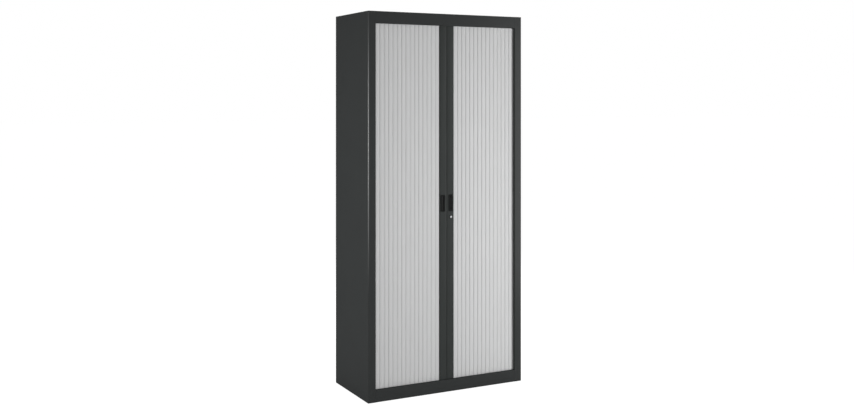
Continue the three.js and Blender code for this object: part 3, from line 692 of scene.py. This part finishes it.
class TAMBOUR_OT_top_cap(bpy.types.Operator):
    """Folds the top panel with its header and rear flange"""

    bl_idname = "tambour.top_cap"
    bl_label = "Top cap"

    def execute(self, context):
        body = context.scene.tambour_body
        low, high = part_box("top_panel")
        inner = high.x - body.stile - FIT_GAP
        under = high.z - body.header
        corners = [
            (low.y + body.return_depth, under),
            (low.y, under),
            (low.y, high.z),
            (high.y, high.z),
            (high.y, high.z - body.rear_flange),
        ]
        bm = folded(strip(corners, lengthwise, -inner, inner), body.top_bend, body.bend_steps, body.sheet)
        bm = combine(bm, [cap_wing(body, side, inner, low, high) for _, side in SIDES], "UNION")
        level_faces(place_piece("top_cap", bm, "carcass", "frame_paint", "top_panel"))
        return {"FINISHED"}


class TAMBOUR_OT_plinth_front(bpy.types.Operator):
    """Folds the plinth rail"""

    bl_idname = "tambour.plinth_front"
    bl_label = "Plinth front"

    def execute(self, context):
        body = context.scene.tambour_body
        low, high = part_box("plinth_rail")
        corners = [
            (low.y + body.plinth_lip, low.z),
            (low.y, low.z),
            (low.y, high.z),
            (low.y + body.return_depth, high.z),
        ]
        bm = folded(strip(corners, lengthwise, low.x, high.x), body.top_bend, body.bend_steps, body.sheet)
        piece = place_piece("plinth_front", bm, "carcass", "frame_paint", "plinth_rail")
        break_edges(piece, body.edge_break)
        return {"FINISHED"}


def finish_node(name, slot_name):
    """Gives a CAD node that stays in view its finish."""
    node = frame["nodes"][name]
    if not node.material_slots:
        node.data.materials.append(None)
    node.material_slots[0].material = bpy.data.materials[SLOT_MATERIALS[slot_name]]


class TAMBOUR_OT_inner_body(bpy.types.Operator):
    """Finishes the pans, liners, shelves, rear sheet, tracks and lock cam"""

    bl_idname = "tambour.inner_body"
    bl_label = "Inner body"

    def execute(self, context):
        for name in frame["nodes"]:
            if name.startswith(("shelf_", "liner_")) or name in ("base_pan", "crown_pan"):
                finish_node(name, "inner_paint")
            elif "_track_" in name:
                finish_node(name, "track_plastic")
        finish_node("back_panel", "frame_paint")
        finish_node("lock_cam", "zinc")
        return {"FINISHED"}


# Curtains


def hook_radius(sizes):
    """Outer radius of a slat's hook."""
    return sizes.bead + sizes.pivot_gap + sizes.hook_wall


def path_places(sizes, first, pivot_y, pitch):
    """Pivot and heading of each slat: along the front, round the corner and back along the side."""
    side_x = cad_high.x - bpy.context.scene.tambour_body.sheet - sizes.side_gap
    turn_start = side_x - sizes.turn_radius
    centre = Vector((turn_start, pivot_y + sizes.turn_radius))

    def at(distance):
        angle = (distance - turn_start) / sizes.turn_radius
        if angle <= 0:
            return Vector((distance, pivot_y))
        if angle >= QUARTER:
            return Vector((side_x, centre.y + sizes.turn_radius * (angle - QUARTER)))
        return centre + sizes.turn_radius * Vector((math.sin(angle), -math.cos(angle)))

    places = []
    distance = first
    for _ in range(SLATS_PER_DOOR):
        here = at(distance)
        near, far = distance, distance + pitch * QUARTER
        for _ in range(HALVINGS):
            middle = (near + far) / 2
            if (at(middle) - here).length < pitch:
                near = middle
            else:
                far = middle
        distance = far
        heading = at(distance) - here
        places.append((here, math.atan2(heading.y, heading.x)))
    return places


def slat_section(sizes, pitch):
    """Section of a slat in the XY plane: hook at the origin, bead at the pitch, face towards -Y.

    With it come the two edges of its face, and the radii and depths that its chambers keep clear of.
    """
    hook_in = sizes.bead + sizes.pivot_gap
    hook_out = hook_radius(sizes)
    socket = hook_out + sizes.socket_gap
    edge = socket + sizes.skin
    half_neck = sizes.neck / 2
    turn = 2 * math.asin(pitch / (2 * sizes.turn_radius))
    mouth = math.asin((half_neck + sizes.pivot_gap) / hook_in)
    mouth_front = mouth - math.pi
    mouth_back = math.pi - turn - mouth
    skin_left = sizes.groove / 2
    skin_right = pitch - sizes.groove / 2
    back = hook_out - sizes.back_inset
    half_skin = (skin_right - skin_left) / 2
    crown_radius = (half_skin**2 + sizes.crown**2) / (2 * sizes.crown)
    crown_centre = (pitch / 2, -edge - sizes.crown + crown_radius)
    origin, bead = (0.0, 0.0), (pitch, 0.0)
    skin_angle = -math.acos(skin_left / hook_out)
    socket_top = math.acos((pitch - skin_right) / socket) - math.pi
    socket_neck = math.asin(half_neck / socket)
    bead_neck = math.asin(half_neck / sizes.bead)
    socket_back = math.asin(back / socket)
    hook_back = math.asin(back / hook_out)
    few, many = sizes.round_steps // 4, sizes.round_steps
    bm = bmesh.new()
    pen = Pen(bm, polar(origin, hook_out, mouth_front))
    pen.arc(origin, skin_angle - mouth_front, few)
    left_edge = pen.line((skin_left, -edge)).tip
    right_edge = pen.arc(crown_centre, 2 * math.asin(half_skin / crown_radius), many).tip
    pen.line(polar(bead, socket, socket_top)).arc(bead, socket_neck - math.pi - socket_top, few)
    pen.line(polar(bead, sizes.bead, bead_neck - math.pi)).arc(bead, 2 * (math.pi - bead_neck), many)
    pen.line(polar(bead, socket, math.pi - socket_neck)).arc(bead, socket_neck - socket_back, few)
    pen.line(polar(origin, hook_out, hook_back)).arc(origin, mouth_back - hook_back, few)
    pen.line(polar(origin, hook_in, mouth_back)).arc(origin, mouth_front - mouth_back, many)
    pen.close()
    return bm, [left_edge, right_edge], (hook_out, socket, edge, back)


def slat_mesh(sizes, pitch, low, high):
    """One slat with two chambers that run through it."""
    bm, edges, (hook_out, socket, edge, back) = slat_section(sizes, pitch)
    soften(bm, edges, sizes.edge_radius, EDGE_STEPS, "VERTICES")
    left = hook_out + sizes.pivot_gap
    right = pitch - socket - sizes.skin
    width = (right - left - sizes.skin) / 2
    front, rear = sizes.skin - edge, back - sizes.skin
    for start in (left, right - width):
        end = start + width
        outline(bm, [(start, front), (end, front), (end, rear), (start, rear)])
    draw_out(bm, low, high)
    return bm


class TAMBOUR_OT_curtains(bpy.types.Operator):
    """Hangs the two curtains of hooked slats in their tracks"""

    bl_idname = "tambour.curtains"
    bl_label = "Curtains"

    def execute(self, context):
        sizes = context.scene.tambour_curtain
        low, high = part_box("slat_right_01")
        first = low.x + hook_radius(sizes)
        pitch = high.x - sizes.bead - first
        pivot_y = high.y - hook_radius(sizes)
        model = slat_mesh(sizes, pitch, low.z, high.z)
        for name, side in SIDES:
            for number, (pivot, heading) in enumerate(path_places(sizes, first, pivot_y, pitch), 1):
                bm = model.copy()
                turn = Matrix.Translation((*pivot, 0.0)) @ Matrix.Rotation(heading, 4, "Z")
                bmesh.ops.transform(bm, matrix=turn, verts=bm.verts[:])
                bm = mirrored(bm, side)
                tag = f"{name}_{number:02d}"
                piece = place_piece(f"curtain_{tag}", bm, f"{name}_door", "slat_plastic", f"slat_{tag}")
                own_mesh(piece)
        model.free()
        return {"FINISHED"}


# Lead rails


def rail_outline(bm, rail, curtain, box, pivot):
    """Section of the right-hand lead rail, with the bead that the first slat clasps."""
    (inner, front, rear), outer = box, pivot.x - curtain.groove / 4
    step = outer - rail.side_step
    notch = pivot.y - hook_radius(curtain) - curtain.socket_gap
    half_neck = curtain.neck / 2
    bead_neck = math.asin(half_neck / curtain.bead)
    corner = rail.corner
    pen = Pen(bm, (inner, rear))
    pen.line((inner, front + corner)).arc((inner + corner, front + corner), QUARTER, CORNER_STEPS)
    pen.line((outer - corner, front)).arc((outer - corner, front + corner), QUARTER, CORNER_STEPS)
    pen.line((outer, notch)).line((step, notch)).line((step, pivot.y - half_neck))
    pen.line(polar(pivot, curtain.bead, bead_neck - math.pi))
    pen.arc(pivot, 2 * (math.pi - bead_neck), curtain.round_steps)
    pen.line((step, pivot.y + half_neck)).line((step, rear))
    pen.close()
    left, right, narrow = inner + rail.wall, outer - rail.wall, step - rail.wall
    near, shelf, far = front + rail.wall, notch - rail.wall, rear - rail.wall
    outline(bm, [(left, far), (left, near), (right, near), (right, shelf), (narrow, shelf), (narrow, far)])


def rail_cutters(context, name):
    """Openings of the right-hand rail for the cup, the cam and, on that door, the lock."""
    rail = context.scene.tambour_rail
    pull = context.scene.tambour_pull
    low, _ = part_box("lead_rail_right")
    cup_low, cup_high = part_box("handle_right")
    cam_low, cam_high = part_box("lock_cam")
    reach = rail.wall + OVERRUN
    cup = rounded_block(
        (cup_low.x + pull.rim, low.y - OVERRUN, cup_low.z + pull.rim),
        (cup_high.x - pull.rim, low.y + reach, cup_high.z - pull.rim),
        Y_AXIS,
        pull.corner - pull.rim / 2,
    )
    cam = rounded_block(
        (low.x - OVERRUN, cam_low.y - rail.slot_clearance, cam_low.z + OVERRUN),
        (low.x + reach, cam_high.y + rail.slot_clearance, cam_high.z + 2 * OVERRUN),
        X_AXIS,
        OVERRUN / 2,
        SMALL_STEPS,
    )
    if name != "right":
        return [cup, cam]
    lock_low, lock_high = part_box("lock_housing")
    centre = (lock_low + lock_high) / 2
    centre.y = low.y
    radius = pull.body_radius + FIT_GAP
    profile = [(0.0, -OVERRUN), (radius, -OVERRUN), (radius, reach), (0.0, reach)]
    return [cup, cam, turned(profile, centre, Y_AXIS, pull.round_steps)]


def rail_glides(context, box, ends, slat):
    """Plastic end plugs, each with a tongue that runs in its track."""
    rail = context.scene.tambour_rail
    curtain = context.scene.tambour_curtain
    low, high = box
    whole = bmesh.new()
    inset = rail.wall + FIT_GAP
    step = high.x - curtain.bead - curtain.groove / 4 - rail.side_step
    tongue_x = low.x + rail.tongue_inset
    for end, track, inward in ((ends[0], slat[0].z, 1), (ends[1], slat[1].z, -1)):
        top = end + inward * rail.plug
        plug = (low.x + inset, low.y + inset, end), (step - inset, high.y - inset, top)
        tongue = (tongue_x, slat[0].y, track), (tongue_x + rail.tongue_width, slat[1].y, end)
        for first, second in (plug, tongue):
            corners = [tuple(map(pick, first, second)) for pick in (min, max)]
            part = rounded_block(*corners, Z_AXIS, OVERRUN / 2, SMALL_STEPS)
            mesh = to_mesh(part, "glide")
            whole.from_mesh(mesh)
            bpy.data.meshes.remove(mesh)
    return whole


class TAMBOUR_OT_lead_rails(bpy.types.Operator):
    """Draws the lead rails, cuts them for pull, lock and cam, and plugs their ends with glides"""

    bl_idname = "tambour.lead_rails"
    bl_label = "Lead rails"

    def execute(self, context):
        rail = context.scene.tambour_rail
        curtain = context.scene.tambour_curtain
        body = context.scene.tambour_body
        low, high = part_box("lead_rail_right")
        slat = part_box("slat_right_01")
        pivot = Vector((slat[0].x + hook_radius(curtain), slat[1].y - hook_radius(curtain)))
        ends = (body.plinth + rail.end_gap, cad_high.z - body.header - rail.end_gap)
        for name, side in SIDES:
            bm = bmesh.new()
            rail_outline(bm, rail, curtain, (low.x, low.y, high.y), pivot)
            draw_out(bm, *ends)
            bm = mirrored(combine(bm, rail_cutters(context, name), "DIFFERENCE"), side)
            place_piece(f"rail_{name}", bm, f"{name}_door", "rail_paint", f"lead_rail_{name}")
            bm = mirrored(rail_glides(context, (low, high), ends, slat), side)
            place_piece(f"rail_glides_{name}", bm, f"{name}_door", "track_plastic")
        return {"FINISHED"}


# Pulls and lock


class TAMBOUR_OT_pulls(bpy.types.Operator):
    """Moulds the recessed pulls, each with a rim, a cup and a lip for the fingers"""

    bl_idname = "tambour.pulls"
    bl_label = "Pulls"

    def execute(self, context):
        pull = context.scene.tambour_pull
        low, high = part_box("handle_right")
        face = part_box("lead_rail_right")[0].y
        inset = pull.rim + FIT_GAP
        hollow_inset = inset + pull.wall
        cup_corner = pull.corner - pull.rim / 2
        hollow_corner = cup_corner - pull.wall / 2
        spans = [
            (inset, face - 2 * FIT_GAP, high.y, 0.0, cup_corner),
            (hollow_inset, face, high.y - pull.wall, 0.0, hollow_corner),
            (hollow_inset, low.y - OVERRUN, face + FIT_GAP, pull.lip, hollow_corner),
        ]
        for name, side in SIDES:
            rim = rounded_block(low, (high.x, face - FIT_GAP, high.z), Y_AXIS, pull.corner)
            front = [edge for edge in rim.edges if all(abs(v.co.y - low.y) < FIT_GAP for v in edge.verts)]
            soften(rim, front, pull.softening, EDGE_STEPS)
            cup, hollow, mouth = (
                rounded_block(
                    (low.x + margin, start, low.z + margin),
                    (high.x - margin - lip, end, high.z - margin),
                    Y_AXIS,
                    corner,
                )
                for margin, start, end, lip, corner in spans
            )
            bm = combine(combine(rim, [cup], "UNION"), [hollow, mouth], "DIFFERENCE")
            place_piece(
                f"pull_{name}", mirrored(bm, side), f"{name}_door", "handle_plastic", f"handle_{name}"
            )
        return {"FINISHED"}


class TAMBOUR_OT_lock(bpy.types.Operator):
    """Turns the lock's housing and plug, and cuts the keyway"""

    bl_idname = "tambour.lock"
    bl_label = "Lock"

    def execute(self, context):
        pull = context.scene.tambour_pull
        low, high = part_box("lock_housing")
        plug_low, plug_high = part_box("lock_plug")
        radius = (high.x - low.x) / 2
        centre = (low + high) / 2
        centre.y = 0.0
        soft = pull.head_softening
        edge = soft / 3
        behind_head = low.y + pull.head_thickness
        rounding = [
            polar((radius - soft, low.y + soft), soft, QUARTER * step / HEAD_STEPS - QUARTER)
            for step in range(HEAD_STEPS + 1)
        ]
        housing = [
            (pull.bore, high.y),
            (pull.bore, low.y + edge),
            (pull.bore + edge, low.y),
            *rounding,
            (radius, behind_head),
            (pull.body_radius, behind_head),
            (pull.body_radius, high.y),
        ]
        bm = turned(housing, centre, Y_AXIS, pull.round_steps)
        place_piece("lock_ring", bm, "right_door", "handle_plastic", "lock_housing")
        plug_radius = pull.bore - FIT_GAP
        profile = [
            (0.0, plug_low.y),
            (plug_radius - edge, plug_low.y),
            (plug_radius, plug_low.y + edge),
            (plug_radius, high.y),
            (pull.spindle, high.y),
            (pull.spindle, plug_high.y),
            (0.0, plug_high.y),
        ]
        half = Vector((pull.keyway_width, 0.0, pull.keyway_height)) / 2
        mouth = Y_AXIS * (plug_low.y - OVERRUN)
        bottom = Y_AXIS * (plug_low.y + pull.keyway_depth)
        keyway = block(centre - half + mouth, centre + half + bottom)
        bm = combine(turned(profile, centre, Y_AXIS, pull.round_steps), [keyway], "DIFFERENCE")
        place_piece("lock_core", bm, "lock_barrel", "lock_chrome", "lock_plug")
        return {"FINISHED"}


# Feet


def wind_thread(bm, sizes, centre, core, start, end):
    """A ridge wound round the stem."""
    turns = int((end - start) / sizes.thread_pitch) - 1
    half = sizes.thread_pitch * THREAD_FLANK
    middle = start + sizes.thread_pitch / 2
    root = core - FIT_GAP / 3
    section = [(root, middle - half), (sizes.stem, middle), (root, middle + half)]
    verts = [bm.verts.new(centre + Vector((radius, 0.0, height))) for radius, height in section]
    steps = turns * sizes.round_steps // 2
    rise = Z_AXIS * (turns * sizes.thread_pitch / steps)
    angle = 2 * math.pi * turns
    bmesh.ops.spin(
        bm, geom=[bm.faces.new(verts)], cent=centre, axis=Z_AXIS, dvec=rise, angle=angle, steps=steps
    )
    bmesh.ops.recalc_face_normals(bm, faces=bm.faces[:])


class TAMBOUR_OT_feet(bpy.types.Operator):
    """Turns the levelling feet and winds their threads"""

    bl_idname = "tambour.feet"
    bl_label = "Feet"

    def execute(self, context):
        sizes = context.scene.tambour_foot
        for corner in CORNERS:
            low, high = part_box(f"foot_{corner}")
            radius = (high.x - low.x) / 2
            centre = (low + high) / 2
            centre.z = 0.0
            hub_z = sizes.pad_edge + sizes.pad_crown
            soft = sizes.softening
            core = sizes.stem - sizes.thread_depth
            profile = [
                (0.0, low.z),
                (radius - soft / 2, low.z),
                (radius, low.z + soft / 2),
                (radius, low.z + sizes.pad_edge - soft),
                (radius - soft, low.z + sizes.pad_edge),
                (sizes.hub, hub_z),
                (core, hub_z),
                (core, high.z),
                (0.0, high.z),
            ]
            bm = turned(profile, centre, Z_AXIS, sizes.round_steps)
            wind_thread(bm, sizes, centre, core, hub_z, high.z)
            place_piece(f"levelling_{corner}", bm, f"levelling_foot_{corner}", "zinc", f"foot_{corner}")
        return {"FINISHED"}


# Studio


def lamp(name, place, target, size, power):
    """A soft rectangular lamp, turned to a target."""
    data = bpy.data.lights.new(name, "AREA")
    data.shape = "RECTANGLE"
    data.size, data.size_y = size
    data.energy = power
    light = to_object(name, data)
    light.location = place
    light.rotation_euler = (Vector(target) - Vector(place)).to_track_quat("-Z", "Y").to_euler()


def seen_directly(tree):
    """1 for camera, mirror and glass rays, and 0 for the rays that carry light to a surface."""
    path = add_node(tree, "LightPath").outputs
    first = arithmetic(tree, "MAXIMUM", path["Is Camera Ray"], path["Is Glossy Ray"])
    return arithmetic(tree, "MAXIMUM", first, path["Is Transmission Ray"])


def by_ray(tree, seen, rest, direct):
    """One value for the rays that see a surface directly, and another for the rest."""
    return add_node(tree, "MapRange", {"Value": seen, "To Min": rest, "To Max": direct}).outputs["Result"]


def lay_floor(studio):
    """A pale floor that the camera sees as white, with the shadow left on it."""
    bm = bmesh.new()
    bmesh.ops.create_grid(bm, x_segments=1, y_segments=1, size=studio.floor_half)
    floor = to_object("Floor", to_mesh(bm, "Floor"))
    material = bpy.data.materials.new("Pale floor")
    material.use_nodes = True
    tree = material.node_tree
    seen = seen_directly(tree)
    surface = {
        "Roughness": 0.9,
        "Specular IOR Level": 0.0,
        "Base Color": by_ray(tree, seen, studio.floor_pale, studio.floor_shade),
        "Emission Color": WHITE,
        "Emission Strength": arithmetic(tree, "MULTIPLY", seen, studio.floor_lift),
    }
    feed(tree, tree.nodes["Principled BSDF"], surface)
    floor.data.materials.append(material)


def set_background(context, studio):
    """White where it is seen, and softer where it lights the cabinet."""
    world = bpy.data.worlds.new("Studio white")
    world.use_nodes = True
    tree = world.node_tree
    strength = by_ray(tree, seen_directly(tree), studio.ambient, 1.0)
    feed(tree, tree.nodes["Background"], {"Color": WHITE, "Strength": strength})
    context.scene.world = world


def place_camera(context, studio):
    """Stands at the front left, at eye height."""
    data = bpy.data.cameras.new("Camera")
    data.sensor_width = 36.0
    data.lens = studio.lens
    data.shift_y = CAMERA_SHIFT
    data.clip_end = 500.0
    camera = to_object("Camera", data)
    camera.location = CAMERA_PLACE
    camera.rotation_euler = (QUARTER, 0.0, CAMERA_HEADING)
    context.scene.camera = camera


class TAMBOUR_OT_studio(bpy.types.Operator):
    """Sets up the floor, the lamps, the white background and the camera"""

    bl_idname = "tambour.studio"
    bl_label = "Studio"

    def execute(self, context):
        studio = context.scene.tambour_studio
        lay_floor(studio)
        set_background(context, studio)
        for *placing, power in LAMPS:
            lamp(*placing, getattr(studio, power))
        place_camera(context, studio)
        context.scene.view_settings.view_transform = "Standard"
        return {"FINISHED"}


SETTINGS = {
    "tambour_body": BodySizes,
    "tambour_curtain": CurtainSizes,
    "tambour_rail": RailSizes,
    "tambour_pull": PullSizes,
    "tambour_foot": FootSizes,
    "tambour_finishes": Finishes,
    "tambour_studio": Studio,
}
OPERATORS = (
    TAMBOUR_OT_finishes,
    TAMBOUR_OT_side_shells,
    TAMBOUR_OT_top_cap,
    TAMBOUR_OT_plinth_front,
    TAMBOUR_OT_inner_body,
    TAMBOUR_OT_curtains,
    TAMBOUR_OT_lead_rails,
    TAMBOUR_OT_pulls,
    TAMBOUR_OT_lock,
    TAMBOUR_OT_feet,
    TAMBOUR_OT_studio,
)


class TAMBOUR_PT_panel(bpy.types.Panel):
    """Sizes, finishes and steps of the cabinet"""

    bl_idname = "TAMBOUR_PT_panel"
    bl_label = "Tambour Cabinet"
    bl_space_type = "VIEW_3D"
    bl_region_type = "UI"
    bl_category = "Tambour"

    def draw(self, context):
        for step in OPERATORS:
            self.layout.operator(step.bl_idname)
        for name, group in SETTINGS.items():
            box = self.layout.box()
            box.label(text=group.__doc__)
            for setting in group.__annotations__:
                box.prop(getattr(context.scene, name), setting)


CLASSES = (*SETTINGS.values(), *OPERATORS, TAMBOUR_PT_panel)


def register():
    for cls in CLASSES:
        bpy.utils.register_class(cls)
    for name, group in SETTINGS.items():
        setattr(bpy.types.Scene, name, PointerProperty(type=group))


def unregister():
    for name in SETTINGS:
        delattr(bpy.types.Scene, name)
    for cls in reversed(CLASSES):
        bpy.utils.unregister_class(cls)


def main():
    register()
    for step in OPERATORS:
        getattr(bpy.ops.tambour, step.bl_idname.partition(".")[2])()


if __name__ == "__main__":
    main()
